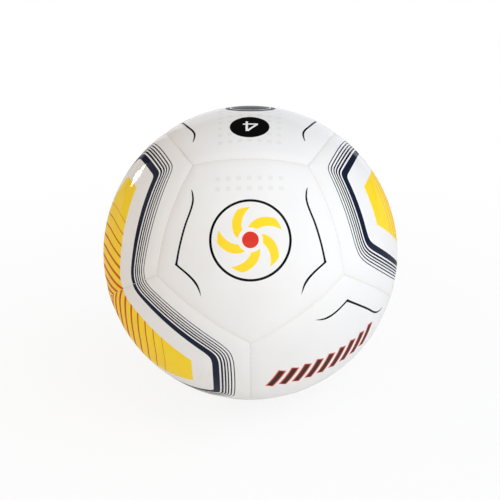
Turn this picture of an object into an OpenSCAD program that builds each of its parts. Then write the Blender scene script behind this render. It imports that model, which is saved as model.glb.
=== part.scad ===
/* [Ball] */
// Distance round the finished ball, which for this size is 620 to 640
circumference = 630; // [620:1:640]

/* [Panel layers] */
// Thickness of the printed outer skin of a panel
skin_t = 1.2; // [0.8:0.1:1.6]
// Thickness of the foam under the skin
foam_t = 3.0; // [2:0.1:4]
// Thickness of the woven backing under the foam
backing_t = 1.2; // [1:0.1:1.6]
// Thickness of the glue line between two layers
glue_t = 0.05; // [0.03:0.01:0.08]

/* [Seams] */
// Diameter of the sewing thread that lies in a seam
thread_d = 0.64; // [0.5:0.02:0.7]
// Space between the thread and the skin on each side of it
thread_clear = 0.08; // [0.05:0.01:0.12]
// Height and width of the turned-down rim of a skin
rim_drop = 0.5; // [0.3:0.1:0.6]
// Space between the inner layers of two panels, on each side of a seam
layer_clear = 0.15; // [0.1:0.01:0.3]
// Length left free of thread at each seam corner
corner_clear = 1.0; // [0.8:0.1:2]

/* [Bladder] */
// Thickness of the bladder's wall
bladder_t = 1.2; // [0.8:0.1:1.6]
// Thickness of the soft filling that lines the bladder
filling_t = 8; // [4:0.5:12]

/* [Valve] */
// Diameter of the valve stem that comes through the panel
stem_d = 11; // [10:0.5:13]
// Space all round the stem in the hole of each layer
stem_clear = 0.3; // [0.2:0.05:0.5]
// How far the end of the stem lies below the ball's surface
stem_recess = 0.6; // [0.4:0.1:1]
// Diameter of the flange that is bonded inside the bladder
flange_d = 28; // [24:1:34]
// Thickness of that flange
flange_t = 1.5; // [1:0.1:2]
// Diameter of the tube that the housing reaches into the ball
tube_d = 9.6; // [9:0.1:11]
// Diameter of the plug's shank
shank_d = 5.2; // [4.8:0.1:5.6]
// Diameter of the plug's head
head_d = 8; // [7.4:0.1:8.4]
// Thickness of the plug's head
head_t = 1.4; // [1:0.1:1.8]
// Space round the plug in its housing
plug_clear = 0.05; // [0.03:0.01:0.08]
// Length of the plug from the top of its head to its tip
plug_length = 14; // [13:0.5:16]
// Length of the tapered tip of the plug
tip_length = 2; // [1:0.5:3]
// Diameter of the guide hole for a pump needle
needle_d = 2.5; // [2.2:0.1:2.6]
// Depth of that hole, under its dished mouth
needle_depth = 9; // [8:0.5:10]
// Diameter of the cloth patch round the stem
patch_d = 40; // [34:1:46]
// Thickness of that patch, which is let into the backing
patch_t = 0.5; // [0.3:0.05:0.6]

/* [Hidden] */
$fn = 96;

// Radii of the layers, from the outside in
ball_r = circumference / (2 * PI);
skin_in_r = ball_r - skin_t;
foam_r = skin_in_r - glue_t;
foam_in_r = foam_r - foam_t;
backing_r = foam_in_r - glue_t;
backing_in_r = backing_r - backing_t;
bladder_r = backing_in_r - glue_t;
bladder_in_r = bladder_r - bladder_t;
lining_r = bladder_in_r - glue_t;

// Angles of a ball of twelve equal five-sided panels
sides = 5;
step = 360 / sides;
ring_rise = atan(1 / 2);
seam_tilt = (90 - ring_rise) / 2;
seam_arc = acos(sqrt(5) / 3);

// Each panel: name, angle round the ball, rise above the equator, angle of its first seam,
// and which of its seams it draws thread for, so that each seam is sewn once
upper_ring = ["front", "right", "rear_right", "rear_left", "left"];
lower_ring = ["low_front_right", "low_right", "low_rear", "low_left", "low_front_left"];
panels = concat(
    [["top", 0, 90, -90, [0, 1, 2, 3, 4]]],
    [for (i = [0 : sides - 1]) [upper_ring[i], i * step, ring_rise, 90, [2, 3, 4]]],
    [for (i = [0 : sides - 1]) [lower_ring[i], (i + 1 / 2) * step, -ring_rise, -90, [0, 1]]],
    [["bottom", 0, -90, -90, []]]
);
striped = ["left", "low_front_left", "low_left", "right", "rear_right", "low_right"];
valve_panel = panels[search(["rear_left"], panels)[0]];

// Half the width of a seam between two skins, and the thread's place in it
skin_clear = thread_d / 2 + thread_clear;
thread_r = foam_r + glue_t + thread_d / 2;
corner_angle = corner_clear / thread_r * 180 / PI;

// How many degrees the cut of a rim runs past each end of its seam
rim_overrun = 2;

// Heights along the valve's axis, measured from the ball's centre
stem_top = ball_r - stem_recess;
plug_tip = stem_top - plug_length;
tube_end = plug_tip - tip_length;
flange_r = lining_r - flange_t;
mouth_depth = 1;
mouth_d = needle_d + 2 * mouth_depth;
reach = 2 * ball_r;
overcut = 1;

function is_striped(panel) = len([for (name = striped) if (name == panel[0]) name]) > 0;

// Turns a shape that faces up the Z axis to face out of one panel
module at_panel(panel) {
    rotate([0, 0, panel[1]]) rotate([90 - panel[2], 0, 0]) children();
}

// Turns a ring drawn round the Z axis to run along one seam of a panel that faces up
module along_seam(panel, seam) {
    rotate([0, 0, panel[3] + seam * step]) rotate([0, seam_tilt - 90, 0]) children();
}

// Sweeps a flat shape through an arc whose middle is at the middle of a seam
module seam_arc_of(arc) {
    rotate([0, 0, -arc / 2]) rotate_extrude(angle = arc) children();
}

// A hollow ball, with its poles on the Y axis, away from the panel
module shell(outer_r, inner_r) {
    rotate([90, 0, 0]) difference() {
        sphere(outer_r);
        sphere(inner_r);
    }
}

// All that lies past one seam of a panel, less a setback on the panel's own side
module past_seam(panel, seam, setback) {
    rotate([0, 0, panel[3] + seam * step]) rotate([0, seam_tilt, 0])
        translate([-setback, -reach, -reach]) cube(2 * reach);
}

// One five-sided layer of a panel that faces up, with the valve's hole where it has one
module layer(panel, outer_r, inner_r, setback) {
    difference() {
        shell(outer_r, inner_r);
        for (seam = [0 : sides - 1]) past_seam(panel, seam, setback);
        if (panel == valve_panel) cylinder(d = stem_d + 2 * stem_clear, h = reach);
    }
}

// The skin of a panel that faces up, with its rim turned down at the first few of its seams
module skin(panel, turned) {
    rim = skin_clear + rim_drop;
    if (turned == 0) layer(panel, ball_r, skin_in_r, skin_clear);
    else difference() {
        skin(panel, turned - 1);
        along_seam(panel, turned) seam_arc_of(seam_arc + 2 * rim_overrun)
            translate([ball_r, 0]) rotate(45) square(rim * sqrt(2), center = true);
    }
}

// The printed skin, with its rim turned down all round
module cover(panel) {
    color(is_striped(panel) ? "gold" : "white") at_panel(panel) skin(panel, sides);
}

module foam(panel) {
    color("lightyellow") at_panel(panel) layer(panel, foam_r, foam_in_r, layer_clear);
}

// The woven backing, with a pocket for the patch in the valve's panel
module backing(panel) {
    color("ivory") at_panel(panel) difference() {
        layer(panel, backing_r, backing_in_r, layer_clear);
        if (panel == valve_panel) patch_disc(patch_d + 2 * layer_clear, glue_t);
    }
}

// The shape of the patch, a dished disc with its inner face on the bladder
module patch_disc(disc_d, extra) {
    intersection() {
        shell(backing_in_r + patch_t + extra, backing_in_r - extra);
        cylinder(d = disc_d, h = reach);
    }
}

module valve_patch() {
    color("linen") at_panel(valve_panel) difference() {
        patch_disc(patch_d, 0);
        cylinder(d = stem_d + 2 * stem_clear, h = reach);
    }
}

// One run of thread along each seam
module seam_thread() {
    color("whitesmoke") for (panel = panels) at_panel(panel) for (seam = panel[4])
        along_seam(panel, seam) seam_arc_of(seam_arc - 2 * corner_angle)
            translate([thread_r, 0]) circle(d = thread_d);
}

module bladder() {
    color("dimgray") at_panel(valve_panel) difference() {
        shell(bladder_r, bladder_in_r);
        cylinder(d = stem_d + 2 * stem_clear, h = reach);
    }
}

// The soft lining of the bladder, cut away round the valve's flange
module bladder_filling() {
    color("khaki") at_panel(valve_panel) difference() {
        shell(lining_r, lining_r - filling_t);
        cylinder(d = flange_d + 2 * stem_clear, h = reach);
    }
}

// The moulded housing: a stem through the panel, a flange in the bladder and a tube further in
module valve_housing() {
    color("darkslategray") at_panel(valve_panel) difference() {
        union() {
            translate([0, 0, flange_r]) cylinder(d = stem_d, h = stem_top - flange_r);
            translate([0, 0, tube_end]) cylinder(d = tube_d, h = flange_r + flange_t / 2 - tube_end);
            intersection() {
                shell(lining_r, flange_r);
                cylinder(d = flange_d, h = reach);
            }
        }
        translate([0, 0, tube_end - overcut]) cylinder(d = shank_d + 2 * plug_clear, h = reach);
        translate([0, 0, stem_top - head_t - plug_clear]) cylinder(d = head_d + 2 * plug_clear, h = reach);
    }
}

// The plug: a flat head, a shank with a tapered tip, and the needle's hole with a dished mouth
module valve_plug() {
    color("black") at_panel(valve_panel) difference() {
        union() {
            translate([0, 0, stem_top - head_t]) cylinder(d = head_d, h = head_t);
            translate([0, 0, plug_tip + tip_length])
                cylinder(d = shank_d, h = plug_length - tip_length - head_t / 2);
            translate([0, 0, plug_tip]) cylinder(d1 = shank_d / 2, d2 = shank_d, h = tip_length);
        }
        translate([0, 0, stem_top - mouth_depth - needle_depth]) cylinder(d = needle_d, h = reach);
        translate([0, 0, stem_top - mouth_depth]) cylinder(d1 = needle_d, d2 = mouth_d, h = mouth_depth);
    }
}

for (panel = panels) cover(panel);
for (panel = panels) foam(panel);
for (panel = panels) backing(panel);
seam_thread();
bladder();
bladder_filling();
valve_housing();
valve_plug();
valve_patch();
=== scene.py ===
# %% [markdown]
# # A futsal ball, panel by panel
# A futsal ball is a small, heavy football that hardly bounces. Its cover is twelve equal five-sided
# panels of printed polyurethane leather, sewn edge to edge round a lined bladder. The frame already
# holds every layer as a solid of the right size. Here the pieces that the eye meets are modelled again
# as finished meshes: the swelling panels, the stitches between them and the rubber valve. All of it is
# in metres and in the frame's own place, so nothing has to be fitted afterwards.

# %% Load the frame
import math

import bmesh
import bpy
from mathutils import Matrix, Vector


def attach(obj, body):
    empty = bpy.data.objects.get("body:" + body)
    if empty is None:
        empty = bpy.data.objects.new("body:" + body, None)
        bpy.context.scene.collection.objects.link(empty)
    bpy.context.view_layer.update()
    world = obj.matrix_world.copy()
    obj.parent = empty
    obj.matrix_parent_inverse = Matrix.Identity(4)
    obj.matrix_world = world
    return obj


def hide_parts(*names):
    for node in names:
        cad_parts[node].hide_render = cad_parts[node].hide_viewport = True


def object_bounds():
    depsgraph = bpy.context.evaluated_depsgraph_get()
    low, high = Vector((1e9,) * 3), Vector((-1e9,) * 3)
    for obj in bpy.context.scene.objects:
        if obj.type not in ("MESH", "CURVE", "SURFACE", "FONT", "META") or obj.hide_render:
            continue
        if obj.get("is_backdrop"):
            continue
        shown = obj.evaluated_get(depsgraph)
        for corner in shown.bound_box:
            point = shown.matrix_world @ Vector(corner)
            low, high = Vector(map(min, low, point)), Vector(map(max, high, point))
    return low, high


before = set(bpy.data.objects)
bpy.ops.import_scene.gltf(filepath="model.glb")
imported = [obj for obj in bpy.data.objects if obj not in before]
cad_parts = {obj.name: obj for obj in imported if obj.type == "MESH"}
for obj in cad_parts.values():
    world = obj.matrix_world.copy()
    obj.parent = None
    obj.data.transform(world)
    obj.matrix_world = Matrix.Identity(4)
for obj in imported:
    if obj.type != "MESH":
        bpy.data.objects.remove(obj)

cad_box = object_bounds()

# %% [markdown]
# ## The shape of the ball
# Twelve equal five-sided panels close up into a ball in only one way: one on top, one underneath, and
# two rings of five between them. Their places could be measured off the frame's solids, but the angles
# are known exactly, so they are worked out. A ring's panels lean up or down by the angle whose tangent
# is one half. From the ball's centre, the middle of a seam is half of what is left of a right angle
# away from the panel's middle. The top panel's middle is the highest point of the ball, so half the
# height of the frame's box is the radius.

# %% Sizes of the ball
mm = 0.001
ball_r = (cad_box[1].z - cad_box[0].z) / 2 / mm
sides = 5
step = math.tau / sides
ring_rise = math.atan(1 / 2)
seam_angle = (math.pi / 2 - ring_rise) / 2
seam_reach = math.tan(seam_angle)
seam_arc = ball_r * seam_angle
print(f"radius {ball_r:.2f} mm, from a panel's middle to its seam {seam_arc:.2f} mm")

# %% [markdown]
# Each panel has a name, a place in its ring and a frame of its own: Z points out of the ball and Y
# points up the panel. `print_up` says which way the print stands in that frame, in degrees, because
# panels are printed alike and turned as they are sewn in. On a striped panel, up is the corner that it
# shares with two other striped panels. No print sits quite in the middle of its panel, and
# `print_shift` says by how many millimetres it is off where that can be seen.

# %% Where the panels are
upper_ring = ["front", "right", "rear_right", "rear_left", "left"]
lower_ring = ["low_front_right", "low_right", "low_rear", "low_left", "low_front_left"]
places = {"top": (0, math.pi / 2), "bottom": (0, -math.pi / 2)}
for i in range(sides):
    places[upper_ring[i]] = (i * step, ring_rise)
    places[lower_ring[i]] = ((i + 1 / 2) * step, -ring_rise)
turns = {
    name: Matrix.Rotation(around, 4, "Z") @ Matrix.Rotation(math.pi / 2 - rise, 4, "X")
    for name, (around, rise) in places.items()
}
first_seam = {name: math.pi / 2 if name in upper_ring else -math.pi / 2 for name in places}
print_up = {
    "front": 91, "top": -90, "low_front_right": -18, "bottom": -90, "low_rear": -90, "rear_left": 18,
    "left": 271.5, "low_front_left": 162, "low_left": 18,
    "right": -18, "rear_right": 198, "low_right": 90,
}
print_shift = {
    "left": (1.5, -0.8), "low_front_left": (0, -0.2), "right": (-1.4, 1.1), "top": (1, -3.2),
    "low_front_right": (0.5, -1),
}
striped = {"left", "low_front_left", "low_left", "right", "rear_right", "low_right"}
valve_panel = "rear_left"
print("panels:", len(turns), "striped:", len(striped))

# %% [markdown]
# ## Two helpers for materials
# Colours are written as the hex values that a colour picker shows, so one function turns them into the
# linear light that shader sockets take. Nodes could be added and linked a line at a time, but that
# takes many lines for each. So a second function adds any node: its settings, then its inputs in the
# order that they are shown, then inputs by name. It gives back the node's first output, ready to feed
# the next node.

# %% Colours and nodes
def linear(hex_colour):
    """An sRGB hex colour as linear red, green, blue and a full alpha."""
    parts = [int(hex_colour[i:i + 2], 16) / 255 for i in (1, 3, 5)]
    return [p / 12.92 if p <= 0.04045 else ((p + 0.055) / 1.055) ** 2.4 for p in parts] + [1.0]


def add(tree, kind, *values, named=None, **settings):
    """Adds one shader node with its settings and inputs, and returns its first output that is in use."""
    node = tree.nodes.new("ShaderNode" + kind)
    for setting, value in settings.items():
        setattr(node, setting, value)
    shown = [socket for socket in node.inputs if socket.enabled]
    inputs = list(zip(shown, values))
    inputs += [(node.inputs[key], value) for key, value in (named or {}).items()]
    for socket, value in inputs:
        if isinstance(value, bpy.types.NodeSocket):
            tree.links.new(value, socket)
        else:
            socket.default_value = value
    return next((socket for socket in node.outputs if socket.enabled), None)


def empty_material(name):
    """A new material with an empty node tree."""
    material = bpy.data.materials.new(name)
    material.use_nodes = True
    material.node_tree.nodes.clear()
    return material, material.node_tree


def finish_material(tree, **shader):
    """Ends a tree with a principled shader. Underscores in the names stand for spaces."""
    named = {key.replace("_", " "): value for key, value in shader.items()}
    add(tree, "OutputMaterial", add(tree, "BsdfPrincipled", named=named))


leather_white = "#F1F0ED"
print("white leather in linear light:", [round(part, 3) for part in linear(leather_white)])

# %% [markdown]
# ## The print page
# A panel is printed flat and then bent to the ball. Its print could be painted as an image, but an
# image is only as sharp as its pixels, so nodes draw it on a flat page. Each place on the page lies at
# its true distance from the panel's middle, in millimetres, which keeps a disc round and a line as wide
# as it is drawn. The page is the panel's own UV map, so the print goes where the panel goes. Ink is
# laid where a shape's depth, the distance to its edge counted inwards, is above nothing.

# %% Shapes to print
page_map = "OFBake"
page_side = 140
ink_fade = 0.16


def inked(tree, depth):
    """Ink for a depth inside a shape in millimetres: all inside, none outside, a short fade between."""
    return add(tree, "Math", depth, 1 / ink_fade, 0.5, operation="MULTIPLY_ADD", use_clamp=True)


def over(tree, ink, colour, hex_colour):
    """Lays an ink of one colour over what is there."""
    return add(tree, "Mix", ink, colour, linear(hex_colour), data_type="RGBA")


def disc_depth(tree, page, centre, radius):
    """Depth inside a round spot."""
    away = add(tree, "VectorMath", page, (*centre, 0), operation="DISTANCE")
    return add(tree, "Math", radius, away, operation="SUBTRACT")


def line_depth(tree, distance, course, width):
    """Depth inside a line that runs where a distance has one value."""
    off = add(tree, "Math", distance, course, operation="SUBTRACT")
    off = add(tree, "Math", off, operation="ABSOLUTE")
    return add(tree, "Math", width / 2, off, operation="SUBTRACT")


def bar_depth(tree, page, centre, turn, length, width):
    """Depth inside a straight bar that is turned by some degrees."""
    turned = add(tree, "VectorRotate", page, (*centre, 0), math.radians(-turn), rotation_type="Z_AXIS")
    shifted = add(tree, "VectorMath", turned, (*centre, 0), operation="SUBTRACT")
    folded = add(tree, "VectorMath", shifted, operation="ABSOLUTE")
    left = add(tree, "VectorMath", (length / 2, width / 2, 0), folded, operation="SUBTRACT")
    parts = add(tree, "SeparateXYZ", left).node.outputs
    return add(tree, "Math", parts["X"], parts["Y"], operation="MINIMUM")


print(f"a print page is {page_side} mm square")

# %% [markdown]
# ### Brackets on the white panels
# Every white panel has a pair of fine dark lines that bow out to its sides, meet a corner and turn back
# in. They could be thin strips laid on the skin, but ink has no thickness. Such a line has one distance
# from the middle for each height, so two curves draw it: one for how far out it runs and one for how
# heavy it is. Both take the distance to the left. Where the sign is dropped, the second line of the
# pair is drawn for nothing.

# %% Bracket lines
ink_dark = "#10131F"
bracket_high = 40
bracket_wide = 60
bracket_corner = -12.7
corner_search = 0.001
faintest_line = 0.02
bracket_course = [
    (-33, 31.3), (-30, 32), (-27, 33), (-24, 34.7), (-21, 37.2), (bracket_corner, 46.9), (0, 43.8),
    (12, 40.2), (20, 37.2), (24, 36), (27.5, 35.5), (31, 35.8), (35, 36.8),
]
bracket_weight = [
    (-33, 0), (-27, 0.65), (-21, 1), (bracket_corner, 1.05), (-10, 0.75), (12, 0.7), (27, 0.65), (35, 0),
]


def drawn_curve(tree, height, points, highest):
    """A value read off a curve through points given as height and value, with one sharp corner."""
    curve = add(tree, "FloatCurve", 1, height).node
    line = curve.mapping.curves[0].points
    corner = (bracket_corner + bracket_high) / (2 * bracket_high)
    spots = [((y + bracket_high) / (2 * bracket_high), value / highest) for y, value in points]
    line[0].location = spots[0]
    line[1].location = spots[-1]
    for spot in spots[1:-1]:
        line.new(*spot)
    for point in line:
        at_corner = abs(point.location.x - corner) < corner_search
        point.handle_type = "VECTOR" if at_corner else "AUTO"
    curve.mapping.update()
    return add(tree, "Math", curve.outputs[0], highest, operation="MULTIPLY")


def print_brackets(tree, page, colour, pair=True):
    """The bracket lines of a white panel, or only the left one."""
    parts = add(tree, "SeparateXYZ", page).node.outputs
    side = add(tree, "Math", parts["X"], -1, operation="MULTIPLY")
    if pair:
        side = add(tree, "Math", side, operation="ABSOLUTE")
    height = add(tree, "MapRange", parts["Y"], -bracket_high, bracket_high, 0, 1)
    out = drawn_curve(tree, height, bracket_course, bracket_wide)
    weight = drawn_curve(tree, height, bracket_weight, 1)
    off = add(tree, "Math", side, out, operation="SUBTRACT")
    off = add(tree, "Math", off, operation="ABSOLUTE")
    depth = add(tree, "Math", weight, off, operation="SUBTRACT")
    drawn = add(tree, "Math", weight, faintest_line, operation="GREATER_THAN")
    ink = add(tree, "Math", inked(tree, depth), drawn, operation="MULTIPLY")
    return over(tree, ink, colour, ink_dark)


print("bracket points:", len(bracket_course))

# %% [markdown]
# ### Stripes on the coloured panels
# A striped panel has a yellow field, then a navy band and five lines that grow finer outwards. They
# keep to three of its seams, like an arch, and run on over the other two seams to the next striped
# panels. Offset copies of one outline could make them, but a single distance for the arch gives every
# stripe at once. On a flat sheet the seams are straight, so the page is first drawn out to the sheet
# that would touch the ball at the panel's middle. There the distance towards a seam is a dot product,
# with a little bow across it, and the largest of three gives the arch. A smooth largest, whose reach
# grows outwards, rounds the corners as an offset line would, one more than the other. Close to the two
# shared seams, the stripes bend outwards.

# %% The arch
arch_ways = {200: 0.9, 270: 0, 340: 0.9}
arch_bow = 0.18
round_from = 10
left_growth, right_growth = 0.2, 0.4
end_way, end_bend, bend_from = math.radians(54), 1.4, 0.5


def touching_sheet(tree, page):
    """The page drawn out to the flat sheet that touches the ball, in units of the ball's radius."""
    along = add(tree, "VectorMath", page, operation="LENGTH")
    angle = add(tree, "Math", along, 1 / ball_r, operation="MULTIPLY")
    reach = add(tree, "Math", angle, operation="TANGENT")
    stretch = add(tree, "Math", reach, along, operation="DIVIDE")
    return add(tree, "VectorMath", page, stretch, operation="SCALE")


def side_distances(tree, sheet):
    """How far out a place on the sheet lies towards each of the three sides of the arch."""
    distances = []
    for way, ease in arch_ways.items():
        cosine, sine = math.cos(math.radians(way)), math.sin(math.radians(way))
        out = add(tree, "VectorMath", sheet, (cosine, sine, 0), operation="DOT_PRODUCT")
        across = add(tree, "VectorMath", sheet, (-sine, cosine, 0), operation="DOT_PRODUCT")
        bow = add(tree, "Math", across, across, operation="MULTIPLY")
        out = add(tree, "Math", bow, arch_bow, out, operation="MULTIPLY_ADD")
        distances.append(add(tree, "Math", out, ease / ball_r, operation="SUBTRACT"))
    return distances


def outward_bend(tree, sheet):
    """How far the stripes have bent outwards, which grows from nothing towards the two shared seams."""
    spot = add(tree, "SeparateXYZ", sheet).node.outputs
    near = add(tree, "Math", spot["X"], operation="ABSOLUTE")
    near = add(tree, "Math", near, math.cos(end_way), -bend_from, operation="MULTIPLY_ADD")
    near = add(tree, "Math", spot["Y"], math.sin(end_way), near, operation="MULTIPLY_ADD")
    near = add(tree, "Math", near, 0, operation="MAXIMUM")
    return add(tree, "Math", near, near, operation="MULTIPLY")


def arch_distances(tree, sheet):
    """How far out a place lies in the arch, in millimetres, for round corners and for sharp ones."""
    left, end, right = side_distances(tree, sheet)
    sharp = add(tree, "Math", left, right, operation="MAXIMUM")
    sharp = add(tree, "Math", sharp, end, operation="MAXIMUM")
    past = add(tree, "Math", sharp, math.tan(round_from / ball_r), operation="SUBTRACT")
    past = add(tree, "Math", past, 0, operation="MAXIMUM")
    arch = end
    for side, growth in ((left, left_growth), (right, right_growth)):
        blend = add(tree, "Math", past, growth, operation="MULTIPLY")
        arch = add(tree, "Math", arch, side, blend, operation="SMOOTH_MAX")
    bend = outward_bend(tree, sheet)
    settled = []
    for distance in (arch, sharp):
        distance = add(tree, "Math", bend, -end_bend, distance, operation="MULTIPLY_ADD")
        distance = add(tree, "Math", distance, operation="ARCTANGENT")
        settled.append(add(tree, "Math", distance, ball_r, operation="MULTIPLY"))
    return settled


print("sides of the arch:", len(arch_ways))

# %% [markdown]
# The five fine lines could each be a shape of their own, but they are equal all round the arch, so a
# colour ramp holds them as a ladder of steps. The band and the field are laid over it, because their
# inner edges open up a little with height. Fine red lines cross the field. Rounding a count of their
# pitch gives each line its number, and with it a weight that grows towards the corner where the striped
# panels meet.

# %% Fine lines and cross lines
yellow = "#FFDA33"
navy = "#1A2136"
cross_line_red = "#CF531E"
fine_lines = [(37.4, 1.3), (39.4, 1.15), (41.35, 0.95), (43.3, 0.8), (45.4, 0.65)]
cross_first, cross_pitch = 3, 7.1
cross_rise, cross_ease = 0.17, 8
cross_width, cross_growth = 0.4, 0.35


def print_ladder(tree, arch, colour):
    """The fine lines outside the band, each given by its middle and its width."""
    ladder = [(0, 0)]
    for middle, width in fine_lines:
        ladder += [(middle - width / 2, 1), (middle + width / 2, 0)]
    ramp = add(tree, "ValToRGB", add(tree, "Math", arch, 1 / seam_arc, operation="MULTIPLY")).node
    ramp.color_ramp.interpolation = "CONSTANT"
    stops = ramp.color_ramp.elements
    stops[1].position = ladder[-1][0] / seam_arc
    for start, _ in ladder[1:-1]:
        stops.new(start / seam_arc)
    for stop, (_, ink) in zip(stops, ladder):
        stop.color = (ink, ink, ink, 1)
    return over(tree, ramp.outputs[0], colour, navy)


def print_cross_lines(tree, page, sheet, field, colour):
    """The lines across the field, which rise to both sides and are numbered upwards from the first."""
    aside = add(tree, "SeparateXYZ", page).node.outputs["X"]
    up = add(tree, "SeparateXYZ", sheet).node.outputs["Y"]
    up = add(tree, "Math", up, operation="ARCTANGENT")
    side = add(tree, "Math", aside, aside, cross_ease ** 2, operation="MULTIPLY_ADD")
    side = add(tree, "Math", side, operation="SQRT")
    start = (cross_first - cross_rise * cross_ease) / cross_pitch
    rise = add(tree, "Math", side, -cross_rise / cross_pitch, -start, operation="MULTIPLY_ADD")
    count = add(tree, "Math", up, ball_r / cross_pitch, rise, operation="MULTIPLY_ADD")
    nearest = add(tree, "Math", count, operation="ROUND")
    nearest = add(tree, "Math", nearest, 0, operation="MAXIMUM")
    off = add(tree, "Math", count, nearest, operation="SUBTRACT")
    off = add(tree, "Math", off, operation="ABSOLUTE")
    half = add(tree, "Math", nearest, cross_growth / 2, cross_width / 2, operation="MULTIPLY_ADD")
    depth = add(tree, "Math", off, -cross_pitch, half, operation="MULTIPLY_ADD")
    ink = add(tree, "Math", inked(tree, depth), field, operation="MULTIPLY")
    return over(tree, ink, colour, cross_line_red)


print("fine lines:", len(fine_lines))

# %% A striped panel's whole print
field_reach = 17.1
band_inner, band_outer = 31.3, 35.8
taper, taper_from = 0.02, -29


def print_stripes(tree, page, colour):
    """The print of a striped panel: fine lines, band, field and cross lines, one over the other."""
    sheet = touching_sheet(tree, page)
    arch, sharp = arch_distances(tree, sheet)
    colour = print_ladder(tree, arch, colour)
    height = add(tree, "SeparateXYZ", page).node.outputs["Y"]
    opened = add(tree, "Math", height, taper_from, operation="SUBTRACT")
    opened = add(tree, "Math", opened, 0, operation="MAXIMUM")
    eased = add(tree, "Math", opened, -taper, arch, operation="MULTIPLY_ADD")
    inner = add(tree, "Math", eased, band_inner, operation="SUBTRACT")
    outer = add(tree, "Math", band_outer, arch, operation="SUBTRACT")
    band = inked(tree, add(tree, "Math", inner, outer, operation="MINIMUM"))
    colour = over(tree, band, colour, navy)
    eased = add(tree, "Math", opened, -taper, sharp, operation="MULTIPLY_ADD")
    field = inked(tree, add(tree, "Math", field_reach, eased, operation="SUBTRACT"))
    colour = over(tree, field, colour, yellow)
    return print_cross_lines(tree, page, sheet, field, colour)


print("a field ends", field_reach, "mm from its panel's middle")

# %% [markdown]
# ### Marks on four white panels
# The front panel has a round badge: a black ring with a yellow pinwheel and a red middle. The top panel
# has two black spots, one with the plain number of the ball's size. Small squares in the palest grey
# stand beside both. The panel at the lower right has a row of leaning blocks, and the one with the
# valve a ring. A font or a picture could give such marks, but each is only discs, lines and bars. So
# they are built from the shapes above, one ink over the other, in the order in which a screen printer
# would lay them.

# %% Small pale squares
pale_grey = "#E7E6E2"
square_side = 3
badge_squares = ((0, 37), (7, 6.6), (2, 7))
spot_squares = ((-0.5, 4.5), (7, 6.3), (11, 7.8))


def print_squares(tree, page, colour, middle, *layout):
    """A block of small squares round a middle, in columns and then rows of some number and pitch."""
    local = add(tree, "VectorMath", page, (*middle, 0), operation="SUBTRACT")
    parts = add(tree, "SeparateXYZ", local).node.outputs
    depth = square_side
    for axis, (count, pitch) in zip("XY", layout):
        to_square = pitch / 2 * ((count + 1) % 2)
        place = add(tree, "Math", parts[axis], to_square, operation="ADD")
        place = add(tree, "Math", place, pitch / 2, -pitch / 2, operation="WRAP")
        in_square = line_depth(tree, place, 0, square_side)
        in_block = line_depth(tree, parts[axis], 0, count * pitch)
        depth = add(tree, "Math", depth, in_square, operation="MINIMUM")
        depth = add(tree, "Math", depth, in_block, operation="MINIMUM")
    return over(tree, inked(tree, depth), colour, pale_grey)


print("squares beside the badge:", badge_squares[1][0] * badge_squares[2][0])

# %% Badge
badge_middle = (0, 1.2)
badge_radius, badge_line = 24.2, 1.6
blade_count = 5
blade_sweep = 0.055
blade_reach = (7.5, 20)
blade_share = (0.30, 0.16)
hub_radius = 5
badge_red = "#DB3A2C"
black = "#0B0B0C"


def print_badge(tree, page, colour):
    """Swept blades round a hub in a ring. Each blade is the middle share of its part of the turn."""
    colour = print_squares(tree, page, print_brackets(tree, page, colour), *badge_squares)
    local = add(tree, "VectorMath", page, (*badge_middle, 0), operation="SUBTRACT")
    away = add(tree, "VectorMath", local, operation="LENGTH")
    parts = add(tree, "SeparateXYZ", local).node.outputs
    angle = add(tree, "Math", parts["Y"], parts["X"], operation="ARCTAN2")
    turn = add(tree, "Math", angle, blade_count / math.tau, blade_count, operation="MULTIPLY_ADD")
    turn = add(tree, "Math", away, blade_sweep, turn, operation="MULTIPLY_ADD")
    share = add(tree, "Math", turn, operation="FRACT")
    off = add(tree, "Math", share, 1 / 2, operation="SUBTRACT")
    off = add(tree, "Math", off, operation="ABSOLUTE")
    narrow = add(tree, "MapRange", away, *blade_reach, *blade_share)
    inside = add(tree, "Math", narrow, off, operation="SUBTRACT")
    girth = add(tree, "Math", away, math.tau / blade_count, operation="MULTIPLY")
    depth = add(tree, "Math", inside, girth, operation="MULTIPLY")
    length = line_depth(tree, away, sum(blade_reach) / 2, blade_reach[1] - blade_reach[0])
    depth = add(tree, "Math", depth, length, operation="MINIMUM")
    colour = over(tree, inked(tree, depth), colour, yellow)
    hub = add(tree, "Math", hub_radius, away, operation="SUBTRACT")
    colour = over(tree, inked(tree, hub), colour, badge_red)
    return over(tree, inked(tree, line_depth(tree, away, badge_radius, badge_line)), colour, black)


print("badge across:", 2 * badge_radius + badge_line, "mm")

# %% Size spot and plain spot
size_spot, size_spot_radius = (-0.5, 27.7), 12.75
plain_spot, plain_spot_radius = (-1, -13.3), 17
plain_ring_radius, plain_ring_line = 13.5, 0.8
figure_line = 1.5
figure_strokes = [((1.8, 0), 90, 12), ((-0.5, -2.4), 0, 9.6), ((-1.7, 1.8), 52, 10.2)]


def print_spots(tree, page, colour):
    """Two black spots. The figure in one is strokes, given by place in the spot, turn and length."""
    colour = print_squares(tree, page, print_brackets(tree, page, colour), *spot_squares)
    colour = over(tree, inked(tree, disc_depth(tree, page, size_spot, size_spot_radius)), colour, black)
    colour = over(tree, inked(tree, disc_depth(tree, page, plain_spot, plain_spot_radius)), colour, black)
    for (right, up), turn, length in figure_strokes:
        middle = (size_spot[0] + right, size_spot[1] + up)
        stroke = bar_depth(tree, page, middle, turn, length, figure_line)
        colour = over(tree, inked(tree, stroke), colour, leather_white)
    away = add(tree, "VectorMath", page, (*plain_spot, 0), operation="DISTANCE")
    ring = line_depth(tree, away, plain_ring_radius, plain_ring_line)
    return over(tree, inked(tree, ring), colour, leather_white)


print("strokes of the figure:", len(figure_strokes))

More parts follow.
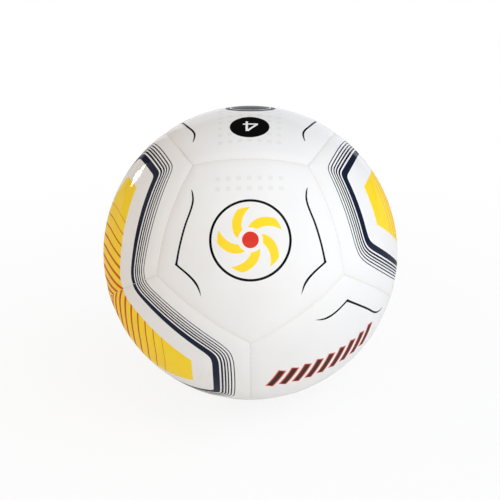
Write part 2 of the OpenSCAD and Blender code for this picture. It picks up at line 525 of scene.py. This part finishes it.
# %% Leaning blocks and valve ring
row_middle = (1.5, -3.5)
row_turn = -54
block_count = 9
block_pitch = 8.6
block_size = (20, 5.6)
block_lean = 65
block_edge = 0.9
block_brown = "#432B26"
block_red = "#E0604F"
valve_ring_radius, valve_ring_line = 10, 0.9


def print_blocks(tree, page, colour):
    """A row of leaning brown blocks with red edges, and the one bracket line that shows beside it."""
    colour = print_brackets(tree, page, colour, pair=False)
    cosine, sine = math.cos(math.radians(row_turn)), math.sin(math.radians(row_turn))
    for i in range(block_count):
        off = (i - (block_count - 1) / 2) * block_pitch
        centre = (row_middle[0] + cosine * off, row_middle[1] + sine * off)
        depth = bar_depth(tree, page, centre, row_turn + block_lean, *block_size)
        colour = over(tree, inked(tree, depth), colour, block_red)
        core = add(tree, "Math", depth, block_edge, operation="SUBTRACT")
        colour = over(tree, inked(tree, core), colour, block_brown)
    return colour


def print_valve_ring(tree, page, colour):
    """A thin ring that shows where the valve is."""
    colour = print_brackets(tree, page, colour)
    away = add(tree, "VectorMath", page, operation="LENGTH")
    ring = line_depth(tree, away, valve_ring_radius, valve_ring_line)
    return over(tree, inked(tree, ring), colour, ink_dark)


print("blocks in the row:", block_count)

# %% [markdown]
# ## Polyurethane leather
# The cover is a cloth coated with polyurethane, pressed with a fine pore grain and sealed with a clear
# coat. The eye sees a white skin with a sharp thin gloss on top: a lamp shows as a crisp patch, and the
# outline goes pale because a coat mirrors most at a glancing angle. One shine could do for both, but a
# satin skin would smear the patch. So all of the shine is in the coat, and the skin under it is matt.
# The grain has its real size, about a millimetre across and a few hundredths deep, so it shows only
# close up. In the seam the white is a touch darker, as painted shade that deepens with the seam.

# %% Printed leather
leather_shade = "#ECEAE6"
painted_seam_shade = "#FBF9F5"
cloud_size = 30
grain_size, grain_depth = 1.1, 0.03


def printed_leather(name, lay_print):
    """White leather with soft clouds of tone, a print, painted shade in the seams and a pore grain."""
    material, tree = empty_material(name)
    place = add(tree, "TexCoord").node.outputs["Object"]
    page = add(tree, "UVMap", uv_map=page_map)
    page = add(tree, "VectorMath", page, (0.5, 0.5, 0), operation="SUBTRACT")
    page = add(tree, "VectorMath", page, page_side, operation="SCALE")
    cloud = add(tree, "TexNoise", place, 1 / (cloud_size * mm), named={"Detail": 3})
    colour = add(tree, "Mix", cloud, linear(leather_white), linear(leather_shade), data_type="RGBA")
    colour = lay_print(tree, page, colour)
    seam = add(tree, "Attribute", attribute_name="seam_depth").node.outputs["Fac"]
    # Painted shade: the white darkens as the skin sinks into a seam.
    colour = add(tree, "Mix", seam, colour, linear(painted_seam_shade), data_type="RGBA", blend_type="MULTIPLY")
    grain = add(tree, "TexVoronoi", place, 1 / (grain_size * mm), feature="SMOOTH_F1")
    bump = add(tree, "Bump", named={"Height": grain, "Strength": 0.35, "Distance": grain_depth * mm})
    gloss = add(tree, "MapRange", cloud, 0.3, 0.7, 0.30, 0.38)
    finish_material(tree, Base_Color=colour, Roughness=gloss, IOR=1.5, Specular_IOR_Level=0, Normal=bump,
                    Coat_Weight=0.17, Coat_Roughness=0.05, Coat_IOR=1.5)
    return material


prints = {"striped": print_stripes, "plain": print_brackets, "front": print_badge, "top": print_spots,
          "low_front_right": print_blocks, valve_panel: print_valve_ring}
leathers = {name: printed_leather("pu_leather_" + name, lay_print) for name, lay_print in prints.items()}
print("leathers:", sorted(leathers))

# %% [markdown]
# ## Cloth, foam, thread and rubber
# The other materials hardly show, but a ball can be opened up. A flat colour would do for what is
# hidden, but not for what is then seen close up, so each gets its own structure. Cloth is two crossed
# sets of threads, drawn as waves at the spacing of the yarn, with painted shade in the gaps between
# them. Foam is a field of small cells, with painted shade in its hollows. Thread is twisted, so its
# gloss runs round it in a slant, and painted shade lies between its strands. Rubber keeps the fine
# matt skin of its mould.

# %% Woven cloth
def woven_cloth(name, thread_colour, shaded_gap_colour, yarn):
    """Plain-woven cotton and polyester: matt, with the yarns standing out of painted shade in the gaps.
    """
    material, tree = empty_material(name)
    place = add(tree, "TexCoord").node.outputs["Object"]
    slack = {"Distortion": 0.6, "Detail": 1}
    waves = []
    for direction in ("X", "Y", "Z"):
        wave = add(tree, "TexWave", place, 0.5 / (yarn * mm), named=slack, bands_direction=direction)
        waves.append(wave)
    crossed = add(tree, "Math", waves[0], waves[1], operation="MULTIPLY")
    crossed = add(tree, "Math", crossed, waves[2], operation="ADD", use_clamp=True)
    # Painted shade: the gaps between the yarns are given a darker colour.
    colour = add(tree, "Mix", crossed, linear(shaded_gap_colour), linear(thread_colour), data_type="RGBA")
    bump = add(tree, "Bump", named={"Height": crossed, "Strength": 0.6, "Distance": 0.2 * mm})
    finish_material(tree, Base_Color=colour, Roughness=0.85, IOR=1.5, Normal=bump, Sheen_Weight=0.2)
    return material


backing_cloth = woven_cloth("laminated_polyester_cotton", "#DDD6C4", "#BFB59D", 0.9)
patch_cloth = woven_cloth("woven_cotton_patch", "#D8CFBA", "#B5A98C", 0.7)
leather_back = woven_cloth("pu_leather_base_cloth", "#E6E2D8", "#CFC9BB", 0.6)
print("cloths:", backing_cloth.name, patch_cloth.name, leather_back.name)

# %% Foam and wadding
def cellular(name, light, dark, cell, depth, rough):
    """A soft body of small cells or fibres, with painted shade in the hollows between them."""
    material, tree = empty_material(name)
    place = add(tree, "TexCoord").node.outputs["Object"]
    cells = add(tree, "TexVoronoi", place, 1 / (cell * mm))
    fibre = add(tree, "TexNoise", place, 0.5 / (cell * mm), named={"Detail": 6})
    height = add(tree, "Math", cells, fibre, operation="ADD")
    shade = add(tree, "MapRange", height, 0.5, 1.3, 0, 1)
    # Painted shade: the colour darkens towards the hollows.
    colour = add(tree, "Mix", shade, linear(light), linear(dark), data_type="RGBA")
    relief = {"Height": height, "Strength": 0.7, "Distance": depth * mm}
    bump = add(tree, "Bump", named=relief, invert=True)
    finish_material(tree, Base_Color=colour, Roughness=rough, IOR=1.45, Normal=bump)
    return material


eva_foam = cellular("eva_foam", "#EFE8D2", "#D9CFB2", 0.8, 0.15, 0.8)
wadding = cellular("polyester_wadding", "#DAD4C2", "#B8AE96", 2.5, 0.8, 0.95)
print("soft materials:", eva_foam.name, wadding.name)

# %% Rubber and thread
bloom_size, tooth_size = 6, 0.4
sheen_change = 0.08


def moulded_rubber(name, light, dark, rough):
    """Black rubber from a mould: a dull skin with faint bloom in patches and a very fine tooth."""
    material, tree = empty_material(name)
    place = add(tree, "TexCoord").node.outputs["Object"]
    bloom = add(tree, "TexNoise", place, 1 / (bloom_size * mm), named={"Detail": 5})
    tooth = add(tree, "TexNoise", place, 1 / (tooth_size * mm), named={"Detail": 2})
    colour = add(tree, "Mix", bloom, linear(dark), linear(light), data_type="RGBA")
    sheen = add(tree, "MapRange", bloom, 0.3, 0.7, rough - sheen_change, rough + sheen_change)
    bump = add(tree, "Bump", named={"Height": tooth, "Strength": 0.4, "Distance": 0.02 * mm})
    finish_material(tree, Base_Color=colour, Roughness=sheen, IOR=1.52, Normal=bump)
    return material


def sewing_thread(name, light, dark, twist):
    """Waxed polyester thread: white strands that wind round each other with a soft shine, and painted
    shade between them.
    """
    material, tree = empty_material(name)
    place = add(tree, "TexCoord").node.outputs["Object"]
    slack = {"Distortion": 1.5, "Detail": 1}
    strands = add(tree, "TexWave", place, 0.5 / (twist * mm), named=slack, bands_direction="DIAGONAL")
    # Painted shade: the colour darkens in the grooves between the strands.
    colour = add(tree, "Mix", strands, linear(dark), linear(light), data_type="RGBA")
    bump = add(tree, "Bump", named={"Height": strands, "Strength": 0.5, "Distance": 0.05 * mm})
    finish_material(tree, Base_Color=colour, Roughness=0.45, IOR=1.5, Normal=bump, Sheen_Weight=0.15)
    return material


bladder_rubber = moulded_rubber("butyl_bladder", "#2B2B2D", "#1B1B1D", 0.55)
valve_rubber = moulded_rubber("butyl_valve_housing", "#2E2E31", "#202023", 0.55)
plug_rubber = moulded_rubber("soft_rubber_plug", "#1E1E20", "#131315", 0.45)
thread = sewing_thread("waxed_polyester_thread", "#FBFAF7", "#E9E6DE", 0.5)
print("rubbers and thread:", bladder_rubber.name, valve_rubber.name, plug_rubber.name, thread.name)

# %% [markdown]
# ## The panels
# A real panel is a flat sheet, cut to five sides and bent to the ball by the air inside. It could be
# cut out of a ball with planes, but then its faces wouldn't follow its edges. So it is modelled as it
# is made. A ring of vertices on a flat sheet is extruded outwards again and again: the first rings are
# round, which suits the valve's hole, and the later ones take on the five sides. The last rings follow
# the swell of the panel down to its seam and the fold at its very edge, and then run back under the
# panel as its base cloth. Depth is kept as Z. Only then is the sheet bent: each vertex is sent from the
# ball's centre through its place on the sheet to the ball's surface, less its depth. A thin dish has no
# clear outside for the operator that turns faces outwards, so the sign of its volume is looked at too.

# %% Rings of a panel
segments = 200
hole_r = 5.8
skin_t = 1.2
rim_round = 0.1
swell_reach, swell_depth = 7, 0.7
fold_reach, fold_depth = 1, 0.1
round_share, straight_share = 0.25, 0.8
hole_arcs = [hole_r, 6.2, 7.4]
middle_arcs = list(range(10, 46, 4))
edge_gaps = [8.5, 7, 5.5, 4, 2.8, 1.9, 1.3, 1, 0.7, 0.45, 0.2, 0.02]
face_arcs = hole_arcs + middle_arcs + [seam_arc - gap for gap in edge_gaps]


def share_at(arc):
    """The share of the sheet, from its middle to a seam, that becomes this distance on the ball."""
    return math.tan(arc / ball_r) / seam_reach


def edge_depth(arc):
    """How far the skin lies below the ball's round: a wide soft swell, and a fold close to the seam."""
    gap = seam_arc - arc
    swell = max(1 - gap / swell_reach, 0) ** 2 * swell_depth
    return swell + max(1 - gap / fold_reach, 0) ** 2 * fold_depth


face_rings = [(share_at(arc), edge_depth(arc)) for arc in face_arcs]
face_rings.append((share_at(face_arcs[-1]), skin_t - rim_round))
back_rings = [(share_at(arc), skin_t) for arc in reversed(face_arcs)]
print("rings on a panel:", len(face_rings), "over and", len(back_rings), "under")

# %% A flat sheet
def sheet_spot(angle, share, first):
    """A place on the flat sheet. Rings near the middle are round, and those near the seams five-sided."""
    from_seam = (angle - first + step / 2) % step - step / 2
    grown = min(max((share - round_share) / (straight_share - round_share), 0), 1)
    grown = grown * grown * (3 - 2 * grown)
    distance = share * seam_reach * (1 + grown * (1 / math.cos(from_seam) - 1))
    return Vector((distance * math.cos(angle), distance * math.sin(angle)))


def grow_sheet(bm, first):
    """Grows the flat sheet ring by ring, with depth as Z, and gives back the faces of its underside."""
    bmesh.ops.create_circle(bm, segments=segments, radius=1)
    edges = list(bm.edges)
    back = []
    for number, (share, depth) in enumerate(face_rings + back_rings):
        if number > 0:
            grown = bmesh.ops.extrude_edge_only(bm, edges=edges)["geom"]
            edges = [part for part in grown if isinstance(part, bmesh.types.BMEdge) and part.is_boundary]
            if number >= len(face_rings):
                back += [part for part in grown if isinstance(part, bmesh.types.BMFace)]
        for vertex in {v for edge in edges for v in edge.verts}:
            spot = sheet_spot(math.atan2(vertex.co.y, vertex.co.x), share, first)
            vertex.co = (*spot, -depth)
    return back


def close_middle(bm, holed, back):
    """Joins the two faces through the valve's hole, or closes both with a fan."""
    ends = [edge for edge in bm.edges if edge.is_boundary]
    if holed:
        back += bmesh.ops.bridge_loops(bm, edges=ends)["faces"]
        return
    for face in bmesh.ops.holes_fill(bm, edges=ends)["faces"]:
        under = face.calc_center_median().z < -skin_t / 2
        fan = bmesh.ops.poke(bm, faces=[face])["faces"]
        back += fan if under else []


print("corners of a ring:", segments)

# %% The sheet bent to the ball
seam_shade_power = 3
back_scale, back_corner = 0.1, Vector((-61, -61))


def bend_to_ball(bm, turn, up, shift, back):
    """Lays out the print page, bends the sheet to the ball and turns the panel to its place."""
    page_uv = bm.loops.layers.uv.new(page_map)
    seam = bm.verts.layers.float.new("seam_depth")
    upright = Matrix.Rotation(math.pi / 2 - up, 2)
    pages = {}
    for vertex in bm.verts:
        depth = -vertex.co.z
        flat = vertex.co.xy
        arc = ball_r * math.atan(flat.length) + depth
        pages[vertex] = upright @ (flat.normalized() * arc) - Vector(shift)
        # The seam depth sets how much painted shade the leather gets in the seam.
        vertex[seam] = min(depth / edge_depth(seam_arc), 1) ** seam_shade_power
        vertex.co = turn @ (Vector((*flat, 1)).normalized() * (ball_r - depth) * mm)
    under = set(back)
    for face in bm.faces:
        face.smooth = True
        face.material_index = int(face in under)
        for loop in face.loops:
            page = pages[loop.vert]
            if face in under:
                page = page * back_scale + back_corner
            loop[page_uv].uv = page / page_side + Vector((0.5, 0.5))


corner_reach = ball_r * math.atan(seam_reach / math.cos(step / 2)) + skin_t
print("largest page reach:", round(corner_reach, 1), "mm")

# %% All twelve panels
def link_piece(bm, name, *materials):
    """Makes an object of a finished mesh, with its place in the mesh, and links it to the scene."""
    mesh = bpy.data.meshes.new(name)
    bm.to_mesh(mesh)
    bm.free()
    for material in materials:
        mesh.materials.append(material)
    piece = bpy.data.objects.new(name, mesh)
    bpy.context.scene.collection.objects.link(piece)
    return piece


for name, turn in turns.items():
    bm = bmesh.new()
    underside = grow_sheet(bm, first_seam[name])
    close_middle(bm, name == valve_panel, underside)
    bend_to_ball(bm, turn, math.radians(print_up[name]), print_shift.get(name, (0, 0)), underside)
    bmesh.ops.recalc_face_normals(bm, faces=bm.faces)
    if bm.calc_volume(signed=True) < 0:
        bmesh.ops.reverse_faces(bm, faces=bm.faces)
    leather = leathers["striped" if name in striped else name if name in leathers else "plain"]
    panel = link_piece(bm, "panel_" + name, leather, leather_back)
    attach(panel, "ball")
    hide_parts("cover_" + name)
print("panels made:", len(turns), "with", len(panel.data.polygons), "faces each")

# %% [markdown]
# ## The stitches
# The panels are sewn from the inside, so only short lengths of thread lie at the bottom of each seam,
# one about every four millimetres. The seam between the top and the left panel lies open a little, and
# there the thread is thicker and higher. A stitch could be a bent tube, but it is fat in the middle and
# dives under at both ends, like a grain of rice, so a stretched ball does for it. It has few faces,
# because there are nearly five hundred of them.

# %% Where the seams are
stitch_pitch = 4.0
corner_free = 3.0
neighbour_cosine = 0.4
outward = {name: turn.to_3x3() @ Vector((0, 0, 1)) for name, turn in turns.items()}
names = list(outward)
pairs = [(one, other) for i, one in enumerate(names) for other in names[i + 1:]]
seams = [(one, other) for one, other in pairs if outward[one].dot(outward[other]) > neighbour_cosine]
half_seam = math.acos(math.sqrt(5) / 3) / 2
run = ball_r * half_seam - corner_free
per_seam = int(2 * run / stitch_pitch)
print("seams:", len(seams), "with", per_seam, "stitches each")

# %% Stitches in thirty seams
stitch_length = 2.9
stitch_sink, stitch_d = 0.9, 0.4
open_seam = {"top", "left"}
open_sink, open_d = 0.5, 0.6
stitch_slant = math.radians(8)
bm = bmesh.new()
for one, other in seams:
    middle = (outward[one] + outward[other]).normalized()
    along = outward[one].cross(outward[other]).normalized()
    sink, thick = (open_sink, open_d) if {one, other} == open_seam else (stitch_sink, stitch_d)
    size = Matrix.Diagonal((stitch_length / 2 * mm, thick / 2 * mm, thick / 2 * mm, 1))
    for i in range(per_seam):
        angle = (i - (per_seam - 1) / 2) * stitch_pitch / ball_r
        out = middle * math.cos(angle) + along * math.sin(angle)
        ahead = along * math.cos(angle) - middle * math.sin(angle)
        axes = Matrix((ahead, out.cross(ahead), out)).transposed().to_4x4()
        slanted = axes @ Matrix.Rotation(stitch_slant, 4, "Z")
        place = Matrix.Translation(out * (ball_r - sink) * mm) @ slanted
        bmesh.ops.create_uvsphere(bm, u_segments=6, v_segments=6, radius=1, matrix=place @ size)
for face in bm.faces:
    face.smooth = True
stitches = link_piece(bm, "seam_stitches", thread)
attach(stitches, "ball")
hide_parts("seam_thread")
print("stitches:", len(seams) * per_seam)

# %% [markdown]
# ## The valve
# In the middle of one panel a rubber stem comes up through the cover, and a soft plug sits in it. The
# plug has a dished mouth for the pump's needle and pulls out along the valve's axis. Cylinders could be
# joined and cut, but both pieces are round, so each is half an outline, spun about the axis. The edges
# are bevelled, because moulded rubber has no sharp ones.

# %% Half outlines, as radius and height above the ball's centre
stem_top = ball_r - 0.6
tube_end = stem_top - 16
head_seat = stem_top - 1.45
housing_outline = [
    (5.5, 93.31), (5.5, stem_top), (4.05, stem_top), (4.05, head_seat), (2.65, head_seat),
    (2.65, tube_end), (4.8, tube_end), (4.8, 91.85), (14, 90.9), (14, 92.42), (5.5, 93.31),
]
plug_outline = [
    (0, stem_top - 10), (1.25, stem_top - 10), (1.25, stem_top - 1), (2.25, stem_top), (2.9, stem_top),
    (3.05, stem_top - 0.2), (3.2, stem_top), (4, stem_top), (4, stem_top - 1.4), (2.6, stem_top - 1.4),
    (2.6, stem_top - 12), (1.3, stem_top - 14), (0, stem_top - 14),
]
print(f"stem from {tube_end:.2f} to {stem_top:.2f} mm")

# %% Housing and plug
valve_steps = 72
merge_reach = 0.001
sharp_angle = math.radians(30)


def spun_rubber(name, outline, material, body, rounding):
    """Spins an outline of radius and height about the valve's axis and rounds its edges."""
    bm = bmesh.new()
    line = [bm.verts.new((radius * mm, 0, height * mm)) for radius, height in outline]
    edges = [bm.edges.new(pair) for pair in zip(line, line[1:])]
    bmesh.ops.spin(bm, geom=line + edges, axis=(0, 0, 1), cent=(0, 0, 0), angle=math.tau,
                   steps=valve_steps, use_merge=True)
    bmesh.ops.remove_doubles(bm, verts=bm.verts, dist=merge_reach * mm)
    bmesh.ops.recalc_face_normals(bm, faces=bm.faces)
    joined = [edge for edge in bm.edges if len(edge.link_faces) == 2]
    sharp = [edge for edge in joined if edge.calc_face_angle() > sharp_angle]
    bmesh.ops.bevel(bm, geom=sharp, offset=rounding * mm, offset_type="OFFSET", segments=3, profile=0.5,
                    affect="EDGES", material=-1, clamp_overlap=True)
    bmesh.ops.transform(bm, matrix=turns[valve_panel], verts=bm.verts)
    for face in bm.faces:
        face.smooth = True
    piece = link_piece(bm, name, material)
    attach(piece, body)
    print(name, len(piece.data.polygons), "faces")
    return piece


housing = spun_rubber("valve_stem", housing_outline, valve_rubber, "ball", 0.3)
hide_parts("valve_housing")
plug = spun_rubber("valve_pull_plug", plug_outline, plug_rubber, "valve_plug", 0.12)
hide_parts("valve_plug")

# %% [markdown]
# ## The layers inside
# Foam, backing, bladder, wadding and patch lie under the cover. They could be modelled again as well,
# but nothing about their shape would change. So they keep the frame's own solids and only take on their
# materials.

# %% Materials for the inner solids
inner_materials = {"foam_": eva_foam, "backing_": backing_cloth, "bladder_filling": wadding,
                   "bladder": bladder_rubber, "valve_patch": patch_cloth}
dressed = 0
for name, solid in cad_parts.items():
    kind = next((start for start in inner_materials if name.startswith(start)), None)
    if kind is None:
        continue
    for slot in solid.material_slots:
        slot.material = inner_materials[kind]
    dressed += 1
print("inner solids dressed:", dressed)

# %% [markdown]
# ## Camera
# The photograph looks a little down on the ball, straight at the lower half of the front panel. A
# camera could be set by eye, but the picture says where it was. The places of the panels' corners give
# its height, and how fast the panels narrow towards the outline gives its distance. A small shift sets
# the ball a touch below the middle of the picture.

# %% Camera
picture_side = 500
camera_rise = math.radians(22.86)
camera_distance = 7.31 * ball_r * mm
focal_pixels = 1064.5
centre_right, centre_drop = 0.39, 2.75
camera_data = bpy.data.cameras.new("camera")
camera_data.sensor_width = 36
camera_data.lens = focal_pixels / picture_side * camera_data.sensor_width
camera_data.shift_x = -centre_right / picture_side
camera_data.shift_y = centre_drop / picture_side
camera = bpy.data.objects.new("camera", camera_data)
camera.location = (0, -camera_distance * math.cos(camera_rise), camera_distance * math.sin(camera_rise))
camera.rotation_euler = (math.pi / 2 - camera_rise, 0, 0)
bpy.context.scene.collection.objects.link(camera)
bpy.context.scene.camera = camera
print(f"lens {camera_data.lens:.1f} mm at {camera_distance:.3f} m")

# %% [markdown]
# ## Floor and light
# The ball lies on a wide white floor, which is also the background. More light could make the floor
# white, but it would bleach the ball. So to the camera, and in mirror-like reflections, the floor gives
# most of its white as its own light, and is white however far it goes. The rest of its white is lit,
# and keeps the ball's shadow.

# %% Floor
floor_reach = 20
own_white = 0.85
shadow_reach = 0.5
bm = bmesh.new()
bmesh.ops.create_circle(bm, cap_ends=True, segments=64, radius=floor_reach)
bmesh.ops.translate(bm, verts=bm.verts, vec=(0, 0, -ball_r * mm))
floor_paint, tree = empty_material("white_studio_floor")
path = add(tree, "LightPath").node.outputs
seen = add(tree, "Math", path["Is Camera Ray"], path["Is Glossy Ray"], operation="MAXIMUM")
seen = add(tree, "Math", seen, path["Is Transmission Ray"], operation="MAXIMUM")
away = add(tree, "VectorMath", add(tree, "TexCoord").node.outputs["Object"], operation="LENGTH")
white = add(tree, "MapRange", away, ball_r * mm, shadow_reach, own_white, 1)
share = add(tree, "Math", seen, white, operation="MULTIPLY")
lit = add(tree, "BsdfDiffuse", linear("#F4F4F4"))
glow = add(tree, "Emission", (1, 1, 1, 1), 1)
add(tree, "OutputMaterial", add(tree, "MixShader", share, lit, glow))
floor = link_piece(bm, "studio_floor", floor_paint)
floor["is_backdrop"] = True
print("floor radius:", floor_reach, "m")

# %% [markdown]
# The photograph is lit from the right by large, cool lamps, and more weakly and warmly from the left.
# One sun could give the bright side, but only large lamps give a skin that shades off as softly as this
# one. So there are two at the right, one in front, one overhead, a warm fill at the left, and two more
# at the back and the rear left. A small one behind the left outline draws the crisp patch on the coat.
# A lamp's level is how bright a white card would be that faces it.

# %% Lamps
lamp_distance = 1.7


def lamp(name, around, rise, size, level, tint="#FFFFFF", distance=lamp_distance):
    """A soft oblong lamp that faces the ball. Around is counted from the camera's side to the right."""
    data = bpy.data.lights.new(name, "AREA")
    data.shape = "RECTANGLE"
    data.size, data.size_y = size
    data.energy = level * math.pi ** 2 * distance ** 2
    data.color = linear(tint)[:3]
    around, rise = math.radians(around), math.radians(rise)
    out = Vector((math.cos(rise) * math.sin(around), -math.cos(rise) * math.cos(around), math.sin(rise)))
    light = bpy.data.objects.new(name, data)
    light.location = out * distance
    light.rotation_euler = out.to_track_quat("Z", "Y").to_euler()
    bpy.context.scene.collection.objects.link(light)


lamp("key_right", 62, 22, (2.2, 2.2), 0.66, "#EAF2FF")
lamp("high_right", 65, 52, (1.6, 1.6), 0.3, "#F4F8FF")
lamp("front", 0, 6, (1.6, 1.6), 0.49)
lamp("overhead", 0, 80, (2.2, 2.2), 0.43, "#EFF5FF")
lamp("fill_left", -85, 15, (2.2, 2.2), 0.3, "#FFE9D0")
lamp("back", 175, 8, (1.4, 1), 0.3, "#EEF4FF")
lamp("rim_left", -120, 10, (1.2, 1.2), 0.12, "#FFF0DE")
lamp("patch_back_left", -137.6, 10.7, (0.2, 0.18), 0.13, distance=1.5)

# %% Room and colour
room_strength = 0.1
world = bpy.data.worlds.new("dim_room")
bpy.context.scene.world = world
world.use_nodes = True
room = world.node_tree.nodes["Background"]
room.inputs["Color"].default_value = linear("#FFE8CC")
room.inputs["Strength"].default_value = room_strength
bpy.context.scene.view_settings.view_transform = "Standard"
print("room:", world.name, "at", room_strength)

# %% [markdown]
# ## Last checks
# The finished pieces should keep the object's size, so how much their box has grown over the frame's box
# is printed.

# %% Sizes and finish
shown_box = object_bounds()
grown = (shown_box[1] - shown_box[0]) - (cad_box[1] - cad_box[0])
print("grown by", [round(side / mm, 3) for side in grown], "mm")
